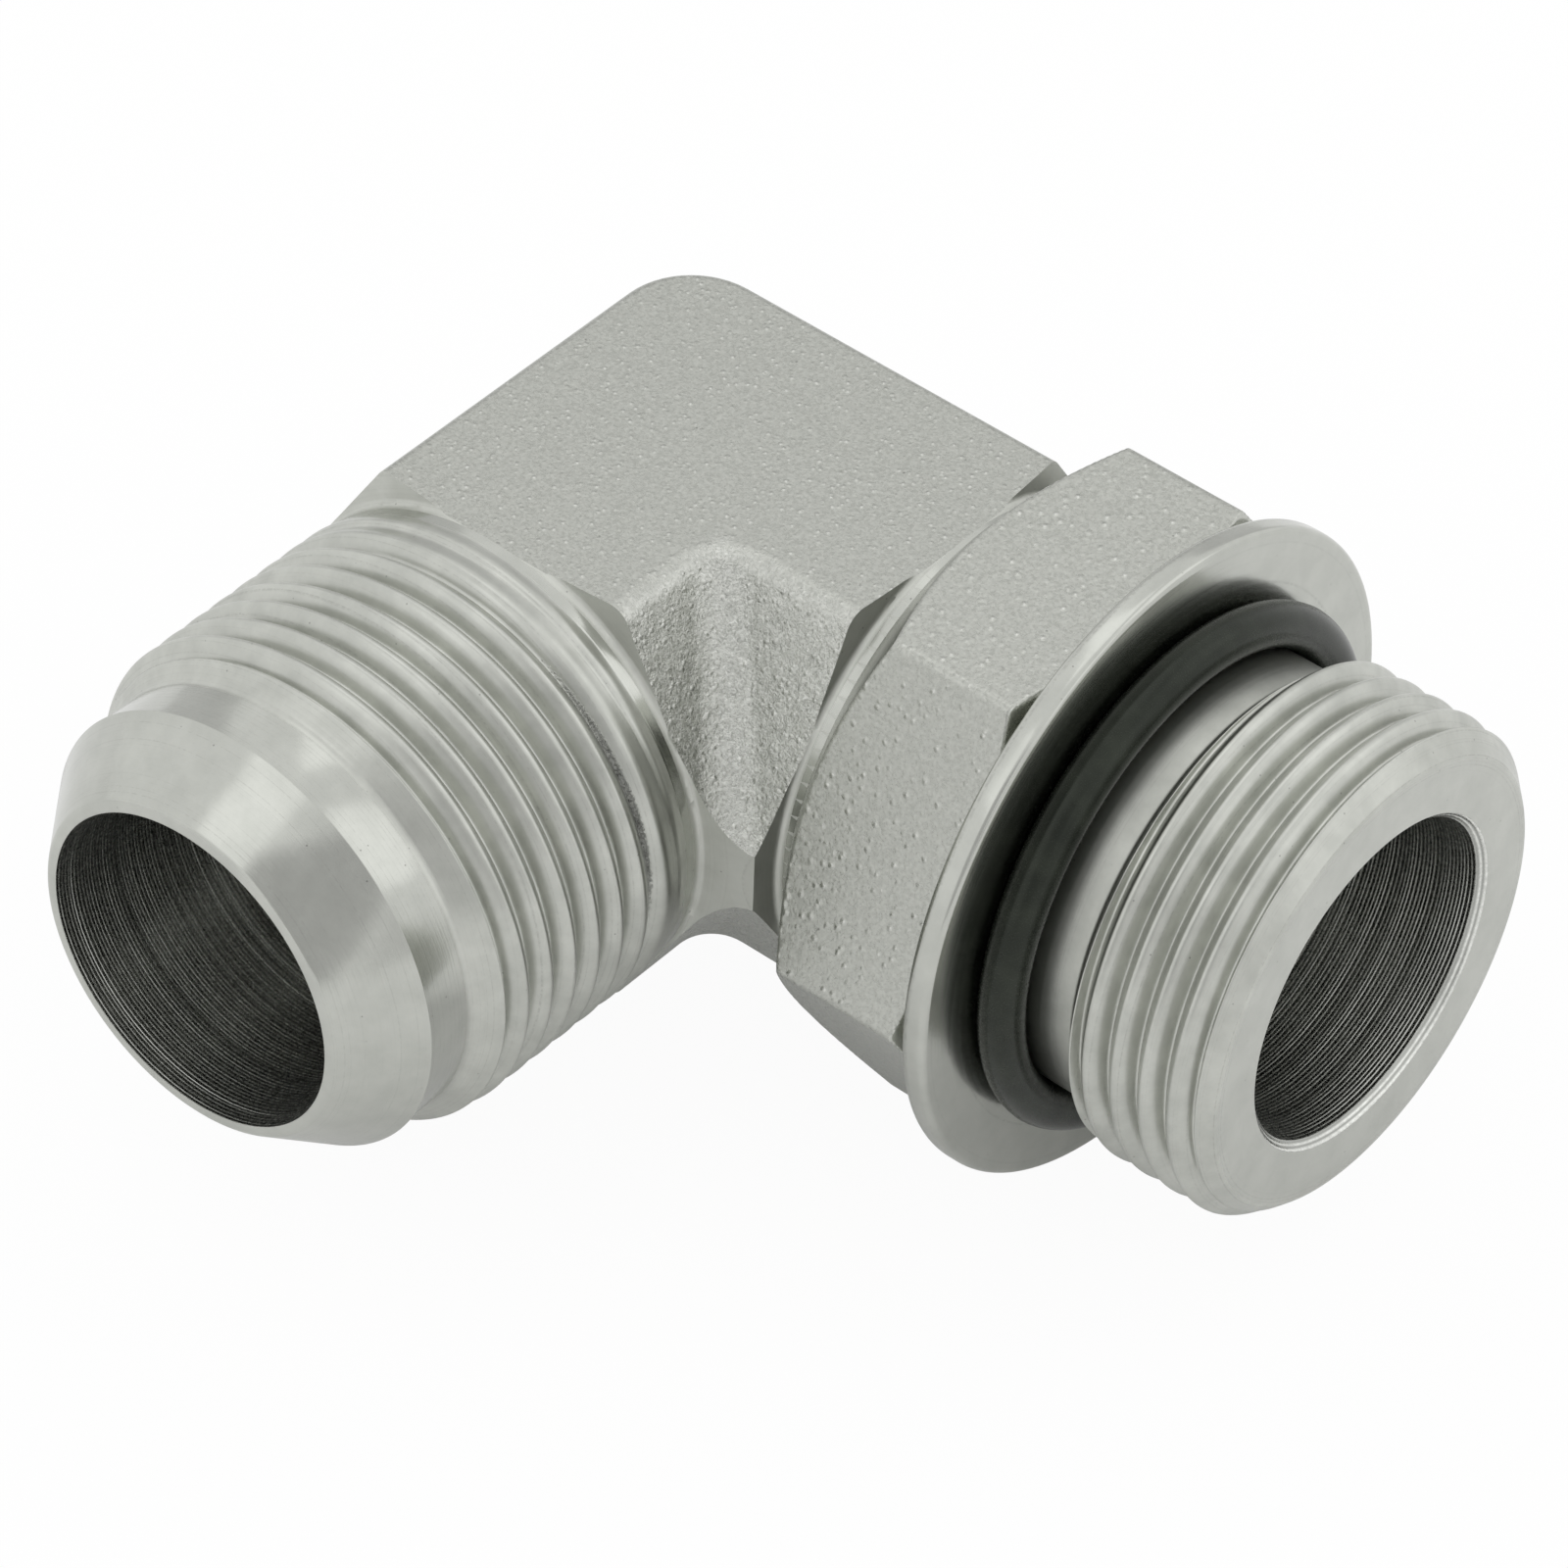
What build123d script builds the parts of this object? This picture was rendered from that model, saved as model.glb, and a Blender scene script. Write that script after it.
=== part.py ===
"""Right-angle hydraulic adapter: a 37 degree flare stud and an adjustable O-ring port stud.

The port stud lies along +X and the flare stud along -Y. Their centrelines cross at the origin,
and +Z is up from the forged flat. All sizes are in millimetres.
"""

from build123d import *
from math import radians, sqrt, tan
import os

# Thread shared by both studs, 1 5/16 inch, plain at its major diameter
thread_major_d = 33.34
thread_major_r = thread_major_d / 2

# Drilled passages, a named wall inside the thread
stud_wall = 5.82
bore_past_crossing = 6.0
drill_point_angle = 118.0
port_mouth_chamfer = 0.5
bore_r = thread_major_r - stud_wall
drill_point_length = bore_r / tan(radians(drill_point_angle / 2))

# Forged elbow block, sized from the thread: the sides stand out past it, and it stands proud of the flats
side_overhang = 2.63
side_slope_run = 9.75
thread_above_flat = 0.77
side_round_r = 4.0
flat_edge_r = 0.8
web_edge_r = 1.8
heel_corner_r = 5.0
web_fillet_r = 3.2
stock_share = 0.2

# Turned shoulders, where a lathe tool faces the block behind each stud
shoulder_rake_angle = 10.0
shoulder_blend_r = 0.5
land_step = 0.32
flare_shoulder = 18.7
port_shoulder = 20.35

# Flare stud, along -Y, in order from its shoulder
flare_land_length = 4.4
flare_thread_length = 14.1
flare_neck_length = 3.59
flare_neck_depth = 1.77
cone_below_thread = 1.57
flare_angle = 37.0
nose_land = 0.7
nose_edge_r = 0.25

# Port stud, along +X, in order from its shoulder
nut_land_length = 4.15
neck_behind_washer = 1.0
neck_past_washer = 5.7
port_neck_depth = 1.87
port_lead_angle = 60.0
port_thread_length = 10.9
port_end_chamfer = 1.6

# Lock nut
nut_wall = 2.38
nut_off_shoulder = 1.35
nut_length = 12.4
nut_turned_by = 3.1
nut_rear_bevel_step = 1.25
nut_front_bevel_step = 1.9
nut_rear_bevel_angle = 35.0
nut_front_bevel_angle = 25.0
nut_turning_margin = 0.4
nut_mouth_chamfer = 0.8

# Backup washer and O-ring
washer_inside_corners = 0.1
washer_thickness = 1.7
washer_rim_r = 0.55
seal_section_d = 2.95

# Clearances
nut_thread_clearance = 0.06
washer_neck_clearance = 0.08
seal_neck_clearance = 0.05
seal_washer_gap = 0.04

os.makedirs("parts", exist_ok=True)

# Block and shoulders, as they follow from the sizes above
side_apex_width = thread_major_d + 2 * side_overhang
flat_width = side_apex_width - 2 * side_slope_run
block_height = thread_major_d - 2 * thread_above_flat
heel_centre = flat_width / 2 - heel_corner_r
land_r = thread_major_r - land_step
flare_block_end = flare_shoulder + shoulder_blend_r
port_block_end = port_shoulder + shoulder_blend_r
arm_blank = max(flare_block_end, port_block_end) + stock_share * side_apex_width
tool_sweep_r = arm_blank + side_apex_width / 2
shoulder_rake_depth = (tool_sweep_r - land_r) * tan(radians(shoulder_rake_angle))

# Flare stud's places
flare_neck_r = thread_major_r - flare_neck_depth
flare_thread_end = flare_block_end + flare_land_length
flare_thread_start = flare_thread_end + flare_thread_length
cone_big_r = thread_major_r - cone_below_thread
cone_small_r = bore_r + nose_land
cone_length = (cone_big_r - cone_small_r) / tan(radians(flare_angle))
cone_big_station = flare_thread_start + flare_neck_length
flare_reach = cone_big_station + cone_length

# Lock nut's places
nut_hole_r = thread_major_r + nut_thread_clearance
nut_across_flats = thread_major_d + 2 * nut_wall
nut_corner_r = nut_across_flats / sqrt(3)
nut_blank_r = nut_corner_r + nut_turning_margin
nut_rear = port_block_end + nut_off_shoulder
nut_rear_face_r = nut_across_flats / 2 - nut_rear_bevel_step
nut_front_face_r = nut_corner_r - nut_front_bevel_step
nut_rear_bevel = (nut_blank_r - nut_rear_face_r) * tan(radians(nut_rear_bevel_angle))
nut_front_bevel = (nut_blank_r - nut_front_face_r) * tan(radians(nut_front_bevel_angle))

# Port stud's places, with its washer and seal
port_neck_r = thread_major_r - port_neck_depth
washer_back = nut_rear + nut_length
washer_front = washer_back + washer_thickness
washer_r = nut_corner_r - washer_inside_corners
seal_path_r = port_neck_r + seal_neck_clearance + seal_section_d / 2
seal_station = washer_front + seal_washer_gap + seal_section_d / 2
nut_thread_start = port_block_end + nut_land_length
port_neck_start = washer_back - neck_behind_washer
port_thread_start = washer_front + neck_past_washer
port_lead = port_neck_depth / tan(radians(port_lead_angle))
port_reach = port_thread_start + port_thread_length

# Cross-section of either forged arm: flats above and below, and slanted sides that meet in a round
with BuildSketch() as block_section:
    with BuildLine():
        Polyline(
            (flat_width / 2, block_height / 2),
            (side_apex_width / 2, 0),
            (flat_width / 2, -block_height / 2),
            (-flat_width / 2, -block_height / 2),
            (-side_apex_width / 2, 0),
            (-flat_width / 2, block_height / 2),
            close=True,
        )
    make_face()
    fillet(block_section.vertices().group_by(Axis.X)[0], side_round_r)
    fillet(block_section.vertices().group_by(Axis.X)[-1], side_round_r)

# Half of that section, moved in to the corner's own axis, for the round of the heel
with BuildSketch() as heel_section:
    add(block_section.sketch)
    split(bisect_by=Plane.YZ.offset(heel_centre), keep=Keep.TOP)

# Forged elbow with its two turned studs and its crossing passages
with BuildPart() as elbow_body:
    with BuildSketch(Plane.YZ.offset(-heel_centre)):
        add(block_section.sketch)
    extrude(amount=arm_blank + heel_centre)
    with BuildSketch(Plane.XZ.offset(-heel_centre)):
        add(block_section.sketch)
    extrude(amount=arm_blank + heel_centre)
    with BuildSketch(Plane(origin=(-2 * heel_centre, heel_centre, 0), x_dir=(1, 0, 0), z_dir=(0, -1, 0))):
        add(heel_section.sketch)
    revolve(axis=Axis((-heel_centre, heel_centre, 0), (0, 0, 1)))

    # The forged web: the crease where the arms' inner sides meet is filled out to a round
    inner_edges = elbow_body.edges().filter_by_position(Axis.X, heel_centre, side_apex_width, (False, True))
    web_creases = inner_edges.filter_by(lambda edge: abs(edge.center().X + edge.center().Y) < 0.01)
    fillet(web_creases, web_fillet_r)

    # Soft edges round both forged flats, softer still over the web
    flat_edges = elbow_body.faces().sort_by(Axis.Z)[-1].edges() + elbow_body.faces().sort_by(Axis.Z)[0].edges()
    inside_x = flat_edges.filter_by_position(Axis.X, -side_apex_width, arm_blank - flat_edge_r)
    rim_edges = inside_x.filter_by_position(Axis.Y, flat_edge_r - arm_blank, side_apex_width)
    web_rims = rim_edges.filter_by(lambda edge: edge.center().X - edge.center().Y > flat_width)
    fillet(web_rims, web_edge_r)
    new_flats = elbow_body.faces().sort_by(Axis.Z)[-1].edges() + elbow_body.faces().sort_by(Axis.Z)[0].edges()
    outer_rims = new_flats.filter_by(lambda edge: edge.center().X - edge.center().Y < flat_width)
    fillet(outer_rims.filter_by_position(Axis.X, -side_apex_width, arm_blank - flat_edge_r), flat_edge_r)

    # Lathe cuts that face a shoulder behind each stud, round at the root and raked back outwards
    with BuildSketch(Plane.XY) as flare_cut:
        with BuildLine():
            Polyline(
                (0, -arm_blank),
                (0, -flare_block_end),
                (land_r, -flare_block_end),
                (land_r, -flare_shoulder),
                (tool_sweep_r, -flare_shoulder + shoulder_rake_depth),
                (tool_sweep_r, -arm_blank),
                close=True,
            )
        make_face()
        fillet(flare_cut.vertices().sort_by_distance((land_r, -flare_shoulder))[0], shoulder_blend_r)
    revolve(axis=Axis.Y, mode=Mode.SUBTRACT)
    with BuildSketch(Plane.XY) as port_cut:
        with BuildLine():
            Polyline(
                (arm_blank, 0),
                (port_block_end, 0),
                (port_block_end, land_r),
                (port_shoulder, land_r),
                (port_shoulder - shoulder_rake_depth, tool_sweep_r),
                (arm_blank, tool_sweep_r),
                close=True,
            )
        make_face()
        fillet(port_cut.vertices().sort_by_distance((port_shoulder, land_r))[0], shoulder_blend_r)
    revolve(axis=Axis.X, mode=Mode.SUBTRACT)

    # Flare stud: thread at its major diameter, neck, sealing cone and nose
    with BuildSketch(Plane.XY) as flare_profile:
        with BuildLine():
            Polyline(
                (0, -flare_block_end),
                (land_r, -flare_block_end),
                (land_r, -flare_thread_end),
                (thread_major_r, -flare_thread_end - land_step),
                (thread_major_r, -flare_thread_start + flare_neck_depth),
                (flare_neck_r, -flare_thread_start),
                (flare_neck_r, -cone_big_station),
                (cone_big_r, -cone_big_station),
                (cone_small_r, -flare_reach),
                (0, -flare_reach),
                close=True,
            )
        make_face()
        fillet(flare_profile.vertices().sort_by(Axis.Y)[0:2].sort_by(Axis.X)[-1], nose_edge_r)
    revolve(axis=Axis.Y)

    # Port stud: thread for the lock nut, neck for the washer and seal, port thread and chamfered end
    with BuildSketch(Plane.XY) as port_profile:
        with BuildLine():
            Polyline(
                (port_block_end, 0),
                (port_block_end, land_r),
                (nut_thread_start, land_r),
                (nut_thread_start + land_step, thread_major_r),
                (port_neck_start - port_neck_depth, thread_major_r),
                (port_neck_start, port_neck_r),
                (port_thread_start, port_neck_r),
                (port_thread_start + port_lead, thread_major_r),
                (port_reach - port_end_chamfer, thread_major_r),
                (port_reach, thread_major_r - port_end_chamfer),
                (port_reach, 0),
                close=True,
            )
        make_face()
    revolve(axis=Axis.X)

    # Passages drilled from each end, with the drill's point just past the crossing
    with BuildSketch(Plane.XY) as flare_passage:
        with BuildLine():
            Polyline(
                (0, bore_past_crossing + drill_point_length),
                (bore_r, bore_past_crossing),
                (bore_r, -flare_reach),
                (0, -flare_reach),
                close=True,
            )
        make_face()
    revolve(axis=Axis.Y, mode=Mode.SUBTRACT)
    with BuildSketch(Plane.XY) as port_passage:
        with BuildLine():
            Polyline(
                (-bore_past_crossing - drill_point_length, 0),
                (-bore_past_crossing, bore_r),
                (port_reach - port_mouth_chamfer, bore_r),
                (port_reach, bore_r + port_mouth_chamfer),
                (port_reach, 0),
                close=True,
            )
        make_face()
    revolve(axis=Axis.X, mode=Mode.SUBTRACT)

# Hexagonal lock nut, bevelled on the lathe at both ends
with BuildPart() as lock_nut:
    with BuildSketch(Plane.YZ.offset(nut_rear)):
        RegularPolygon(nut_across_flats / 2, 6, major_radius=False, rotation=nut_turned_by)
    extrude(amount=nut_length)
    with BuildSketch(Plane.XY) as nut_turning:
        with BuildLine():
            Polyline(
                (nut_rear, 0),
                (nut_rear, nut_rear_face_r),
                (nut_rear + nut_rear_bevel, nut_blank_r),
                (washer_back - nut_front_bevel, nut_blank_r),
                (washer_back, nut_front_face_r),
                (washer_back, 0),
                close=True,
            )
        make_face()
    revolve(axis=Axis.X, mode=Mode.INTERSECT)
    with BuildSketch(Plane.XY) as nut_hole:
        with BuildLine():
            Polyline(
                (nut_rear, 0),
                (nut_rear, nut_hole_r + nut_mouth_chamfer),
                (nut_rear + nut_mouth_chamfer, nut_hole_r),
                (washer_back - nut_mouth_chamfer, nut_hole_r),
                (washer_back, nut_hole_r + nut_mouth_chamfer),
                (washer_back, 0),
                close=True,
            )
        make_face()
    revolve(axis=Axis.X, mode=Mode.SUBTRACT)

# Blanked backup washer, held in the neck behind the port thread
with BuildPart() as backup_washer:
    with BuildSketch(Plane.YZ.offset(washer_back)):
        Circle(washer_r)
        Circle(port_neck_r + washer_neck_clearance, mode=Mode.SUBTRACT)
    extrude(amount=washer_thickness)
    washer_rims = backup_washer.edges().filter_by(GeomType.CIRCLE).group_by(SortBy.RADIUS)[-1]
    fillet(washer_rims, washer_rim_r)

# O-ring, seated against the washer
with BuildPart() as o_ring:
    with BuildSketch(Plane.XY) as seal_section:
        with Locations((seal_station, seal_path_r)):
            Circle(seal_section_d / 2)
    revolve(axis=Axis.X)

elbow_body.part.label = "elbow_body"
lock_nut.part.label = "lock_nut"
backup_washer.part.label = "backup_washer"
o_ring.part.label = "o_ring"

export_step(elbow_body.part, "parts/elbow_body.step")
export_step(lock_nut.part, "parts/lock_nut.step")
export_step(backup_washer.part, "parts/backup_washer.step")
export_step(o_ring.part, "parts/o_ring.step")
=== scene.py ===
"""Plated steel elbow adapter in its studio: forged block, two threaded studs, lock nut, washer and seal.

The port stud lies along +X, the flare stud along -Y, and their centrelines cross at the origin. Sizes in
the classes are in millimetres, and a mesh is written in metres.
"""

import logging
from dataclasses import dataclass, field
from enum import Enum

import bmesh
import bpy
import numpy as np
from mathutils import Matrix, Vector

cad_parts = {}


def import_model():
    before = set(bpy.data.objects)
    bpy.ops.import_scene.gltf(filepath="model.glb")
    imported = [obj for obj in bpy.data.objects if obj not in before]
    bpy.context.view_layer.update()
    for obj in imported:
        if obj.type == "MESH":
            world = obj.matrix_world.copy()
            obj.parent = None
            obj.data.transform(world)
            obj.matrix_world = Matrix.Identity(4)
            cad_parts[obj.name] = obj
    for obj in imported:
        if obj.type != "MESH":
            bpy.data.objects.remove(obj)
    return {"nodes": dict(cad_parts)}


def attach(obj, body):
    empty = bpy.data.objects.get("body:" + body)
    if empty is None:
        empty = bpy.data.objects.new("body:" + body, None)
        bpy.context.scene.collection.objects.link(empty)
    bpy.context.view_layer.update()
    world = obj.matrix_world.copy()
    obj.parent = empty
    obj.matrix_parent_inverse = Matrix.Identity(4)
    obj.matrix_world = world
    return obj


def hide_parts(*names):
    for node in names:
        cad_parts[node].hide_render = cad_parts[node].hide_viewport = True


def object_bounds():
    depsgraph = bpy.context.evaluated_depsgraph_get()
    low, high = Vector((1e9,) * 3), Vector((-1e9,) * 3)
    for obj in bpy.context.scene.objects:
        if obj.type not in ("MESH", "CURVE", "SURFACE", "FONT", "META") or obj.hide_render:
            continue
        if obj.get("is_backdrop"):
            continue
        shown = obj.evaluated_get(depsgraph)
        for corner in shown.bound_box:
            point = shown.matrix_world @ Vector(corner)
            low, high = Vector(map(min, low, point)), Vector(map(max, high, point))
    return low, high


log = logging.getLogger("elbow")
MM = 0.001


class StudAxis(Enum):
    """Which way a turned surface runs: its two radial directions and its own axis, right-handed."""

    FLARE = ((1, 0, 0), (0, 0, 1), (0, -1, 0))
    PORT = ((0, 1, 0), (0, 0, 1), (1, 0, 0))


class Surface(Enum):
    """The differently worked surfaces of the forged block, by their material index."""

    FORGED = 0
    FACED = 1
    FLARE_BORE = 2
    PORT_BORE = 3


# Mesh tools


def write_mesh(
    name: str,
    points: np.ndarray,
    faces: np.ndarray,
    along: np.ndarray,
    material_index: np.ndarray | None = None,
    sharp_angle: float | None = None,
) -> bpy.types.Object:
    """Puts worked-out points and faces into a mesh object, smooth shaded.

    Args:
        name: the piece's name.
        points: vertices in millimetres, (n, 3).
        faces: vertex numbers, all triangles or all quads.
        along: distance along the turned profile at each vertex, in millimetres.
        material_index: material number of each face.
        sharp_angle: edges that turn more than this, in degrees, stay sharp.

    Returns:
        The linked object, with the attribute "along" for finishes that follow the tool's path.
    """
    mesh = bpy.data.meshes.new(name)
    count, corners = faces.shape
    mesh.vertices.add(len(points))
    mesh.vertices.foreach_set("co", (points * MM).astype(np.float32).ravel())
    mesh.loops.add(count * corners)
    mesh.loops.foreach_set("vertex_index", faces.astype(np.int32).ravel())
    mesh.polygons.add(count)
    mesh.polygons.foreach_set("loop_start", np.arange(0, count * corners, corners, dtype=np.int32))
    if material_index is not None:
        mesh.polygons.foreach_set("material_index", material_index.astype(np.int32))
    mesh.polygons.foreach_set("use_smooth", np.ones(count, dtype=bool))
    mesh.update(calc_edges=True)
    if sharp_angle is not None:
        mark_sharp(mesh, sharp_angle)
    attribute = mesh.attributes.new("along", "FLOAT", "POINT")
    attribute.data.foreach_set("value", along.astype(np.float32))
    mesh.validate()
    obj = bpy.data.objects.new(name, mesh)
    bpy.context.scene.collection.objects.link(obj)
    return obj


def mark_sharp(mesh: bpy.types.Mesh, angle: float) -> None:
    """Marks every edge whose two faces turn by more than the angle.

    Args:
        mesh: the mesh, with its edges made.
        angle: the turn in degrees.
    """
    count = len(mesh.polygons)
    normals = np.zeros(count * 3)
    mesh.polygons.foreach_get("normal", normals)
    normals = normals.reshape(-1, 3)
    sizes = np.zeros(count, dtype=np.int32)
    mesh.polygons.foreach_get("loop_total", sizes)
    edge_of_loop = np.zeros(len(mesh.loops), dtype=np.int32)
    mesh.loops.foreach_get("edge_index", edge_of_loop)
    face_of_loop = np.repeat(np.arange(count), sizes)
    order = np.argsort(edge_of_loop, kind="stable")
    edges, faces = edge_of_loop[order], face_of_loop[order]
    pair = np.nonzero(edges[1:] == edges[:-1])[0]
    turn = np.einsum("ij,ij->i", normals[faces[pair]], normals[faces[pair + 1]])
    sharp = np.zeros(len(mesh.edges), dtype=bool)
    sharp[edges[pair[turn < np.cos(np.radians(angle))]]] = True
    mesh.attributes.new("sharp_edge", "BOOLEAN", "EDGE").data.foreach_set("value", sharp)


def soften(corners: list[tuple[float, float, float]], steps: int = 5) -> np.ndarray:
    """Rounds the corners of a profile.

    Each corner is replaced by points of a quadratic curve that leaves it at its own radius along both
    neighbouring lines: q(t) = (1-t)^2 a + 2t(1-t) c + t^2 b.

    Args:
        corners: rows of distance along the axis, radius, and how much the corner is rounded.
        steps: points on each rounded corner.

    Returns:
        The rounded profile as rows of distance and radius.
    """
    given = np.array(corners, float)
    t = np.linspace(0, 1, steps)[:, None]
    out = [given[:1, :2]]
    for before, here, after in zip(given[:-2], given[1:-1], given[2:]):
        if here[2] <= 0:
            out.append(here[None, :2])
            continue
        back, ahead = before[:2] - here[:2], after[:2] - here[:2]
        start = here[:2] + back * min(here[2] / np.linalg.norm(back), 0.45)
        end = here[:2] + ahead * min(here[2] / np.linalg.norm(ahead), 0.45)
        out.append((1 - t) ** 2 * start + 2 * t * (1 - t) * here[:2] + t**2 * end)
    out.append(given[-1:, :2])
    return np.vstack(out)


def refine(profile: np.ndarray, low: float, high: float, step: float) -> np.ndarray:
    """Adds points to the part of a profile between two places along the axis.

    Args:
        profile: rows of distance and radius.
        low: where the close spacing starts.
        high: where it ends.
        step: the close spacing in millimetres.

    Returns:
        The profile with straight lines divided into that spacing there.
    """
    rows = [profile[:1]]
    for start, end in zip(profile[:-1], profile[1:]):
        inside = low - 1e-6 <= min(start[0], end[0]) and max(start[0], end[0]) <= high + 1e-6
        parts = max(1, int(np.ceil(np.linalg.norm(end - start) / step))) if inside else 1
        share = np.arange(1, parts + 1)[:, None] / parts
        rows.append(start + (end - start) * share)
    return np.vstack(rows)


def soft_min(a: np.ndarray, b: np.ndarray, width: float) -> np.ndarray:
    """The lower of two surfaces, with their meeting rounded over a width: min(a, b) less h^2 w / 4, where
    h = max(w - |a - b|, 0) / w.

    Args:
        a: first heights.
        b: second heights.
        width: how wide the round is.

    Returns:
        The rounded lower surface.
    """
    h = np.maximum(width - np.abs(a - b), 0) / width
    return np.minimum(a, b) - h * h * width / 4


def rings(distance: np.ndarray, radius: np.ndarray, axis: StudAxis) -> np.ndarray:
    """Points of a turned surface: axis point plus radius times (cos, sin) of the angle.

    Args:
        distance: (stations, 1) or (stations, angles) distance along the axis.
        radius: (stations, angles) radius.
        axis: the directions to use.

    Returns:
        (stations, angles, 3) points.
    """
    first, second, ahead = (np.array(v, float) for v in axis.value)
    angle = np.linspace(0, 2 * np.pi, radius.shape[1], endpoint=False)
    away = np.cos(angle)[:, None] * first + np.sin(angle)[:, None] * second
    return distance[..., None] * ahead + radius[..., None] * away


def ring_faces(stations: int, angles: int) -> np.ndarray:
    """Quads between neighbouring rings, closed round the axis, facing outwards as stations go ahead.

    Args:
        stations: number of rings.
        angles: points on each ring.

    Returns:
        (quads, 4) vertex numbers.
    """
    i, j = np.meshgrid(np.arange(stations - 1), np.arange(angles), indexing="ij")
    k = (j + 1) % angles
    quads = np.stack([i * angles + j, i * angles + k, (i + 1) * angles + k, (i + 1) * angles + j], -1)
    return quads.reshape(-1, 4)


def path_length(profile: np.ndarray) -> np.ndarray:
    """Length along a profile up to each of its points."""
    steps = np.linalg.norm(np.diff(profile, axis=0), axis=1)
    return np.concatenate([[0.0], np.cumsum(steps)])


# Finishes


class Shader:
    """A material under construction, with short calls for its nodes."""

    def __init__(self, name: str) -> None:
        """Starts a material.

        Args:
            name: the material's name.
        """
        self.material = bpy.data.materials.new(name)
        self.material.use_nodes = True
        self.tree = self.material.node_tree
        self.surface = self.tree.nodes["Principled BSDF"]

    def add(self, kind: str, settings: dict | None = None, **inputs: object) -> bpy.types.Node:
        """Adds a node.

        Args:
            kind: the node's type without the leading "ShaderNode".
            settings: properties of the node itself.
            inputs: values or sockets for its inputs, with _ for a blank.

        Returns:
            The node.
        """
        node = self.tree.nodes.new("ShaderNode" + kind)
        for key, value in (settings or {}).items():
            setattr(node, key, value)
        for key, value in inputs.items():
            self.put(node.inputs[key.replace("_", " ")], value)
        return node

    def put(self, socket: bpy.types.NodeSocket, value: object) -> None:
        """Links a socket to an input, or sets the input's value."""
        if isinstance(value, bpy.types.NodeSocket):
            self.tree.links.new(value, socket)
        else:
            socket.default_value = value

    def place(self) -> bpy.types.NodeSocket:
        """Object coordinates in millimetres."""
        coordinates = self.add("TexCoord").outputs["Object"]
        return self.add("Mapping", Vector=coordinates, Scale=(1 / MM, 1 / MM, 1 / MM)).outputs["Vector"]

    def along(self) -> bpy.types.NodeSocket:
        """The piece's own distance along its turned profile, in millimetres."""
        return self.add("Attribute", {"attribute_name": "along"}).outputs["Fac"]

    def noise(self, vector: bpy.types.NodeSocket, size: float, detail: float, rough: float) -> bpy.types.NodeSocket:
        """Noise of a grain size in millimetres.

        Args:
            vector: coordinates in millimetres.
            size: the grain's size.
            detail: octaves.
            rough: share kept by each finer octave.

        Returns:
            The noise, 0 to 1.
        """
        node = self.add("TexNoise", Vector=vector, Scale=1 / size, Detail=detail, Roughness=rough)
        return node.outputs["Fac"]

    def lines(self, size: float, detail: float = 2) -> bpy.types.NodeSocket:
        """Tool lines: noise in one dimension, along the turned profile.

        Args:
            size: usual width of a line in millimetres.
            detail: octaves.

        Returns:
            The noise, 0 to 1.
        """
        node = self.add("TexNoise", {"noise_dimensions": "1D"}, W=self.along(), Scale=1 / size, Detail=detail)
        return node.outputs["Fac"]

    def remap(
        self, value: bpy.types.NodeSocket, low: float, high: float, to_low: float, to_high: float
    ) -> bpy.types.NodeSocket:
        """Stretches a value from one range to another, and holds it there.

        Args:
            value: the value.
            low: start of its range.
            high: end of its range.
            to_low: what the start becomes.
            to_high: what the end becomes.

        Returns:
            The new value.
        """
        node = self.add("MapRange", Value=value, From_Min=low, From_Max=high, To_Min=to_low, To_Max=to_high)
        return node.outputs["Result"]

    def mix(self, share: object, first: tuple, second: tuple) -> bpy.types.NodeSocket:
        """Mixes two colours.

        Args:
            share: how much of the second.
            first: red, green and blue.
            second: red, green and blue.

        Returns:
            The mixed colour.
        """
        node = self.add("Mix", {"data_type": "RGBA"})
        self.put(node.inputs[0], share)
        self.put(node.inputs[6], (*first, 1))
        self.put(node.inputs[7], (*second, 1))
        return node.outputs[2]

    def tint(self, share: object, first: bpy.types.NodeSocket, second: object) -> bpy.types.NodeSocket:
        """Lays a colour over another.

        Args:
            share: how much of the second.
            first: the colour below.
            second: red, green and blue, or a colour socket.

        Returns:
            The mixed colour.
        """
        node = self.add("Mix", {"data_type": "RGBA"})
        self.put(node.inputs[0], share)
        self.put(node.inputs[6], first)
        self.put(node.inputs[7], (*second, 1) if isinstance(second, tuple) else second)
        return node.outputs[2]

    def blend(self, share: object, first: bpy.types.NodeSocket, second: bpy.types.NodeSocket) -> bpy.types.NodeSocket:
        """A value between two others, by the share of the second."""
        node = self.add("Mix", {"data_type": "FLOAT"})
        for socket, value in zip((node.inputs[0], node.inputs[2], node.inputs[3]), (share, first, second)):
            self.put(socket, value)
        return node.outputs[0]

    def sum(self, *values: bpy.types.NodeSocket) -> bpy.types.NodeSocket:
        """Adds values up."""
        return self.fold("ADD", values)

    def times(self, *values: bpy.types.NodeSocket) -> bpy.types.NodeSocket:
        """Multiplies values."""
        return self.fold("MULTIPLY", values)

    def fold(self, operation: str, values: tuple) -> bpy.types.NodeSocket:
        """Carries an operation through several values.

        Args:
            operation: the Math node's operation.
            values: sockets or numbers.

        Returns:
            The result.
        """
        total = values[0]
        for value in values[1:]:
            node = self.add("Math", {"operation": operation})
            self.put(node.inputs[0], total)
            self.put(node.inputs[1], value)
            total = node.outputs[0]
        return total

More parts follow.
